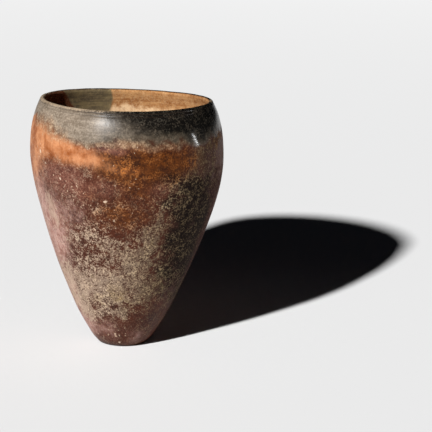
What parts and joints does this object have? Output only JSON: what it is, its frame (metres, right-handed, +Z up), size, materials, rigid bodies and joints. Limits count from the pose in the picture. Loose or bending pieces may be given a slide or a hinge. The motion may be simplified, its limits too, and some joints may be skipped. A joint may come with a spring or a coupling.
{
  "type": "black-topped redware jar",
  "caption": "Tall open-mouthed hand-built redware jar, tapering from a high shoulder to a small flat foot, with a smoke-blackened rim.",
  "frame": {"origin": "middle of the small flat foot the jar stands on", "axes": "+Z up through the mouth, -Y towards the weathered side the picture shows, +X to the right of that side"},
  "size_m": [0.1845, 0.1843, 0.2407],
  "materials": {
    "burnished_redware": "satin"
  },
  "bodies": {
    "root": {"jar": "burnished_redware"}
  },
  "joints": []
}
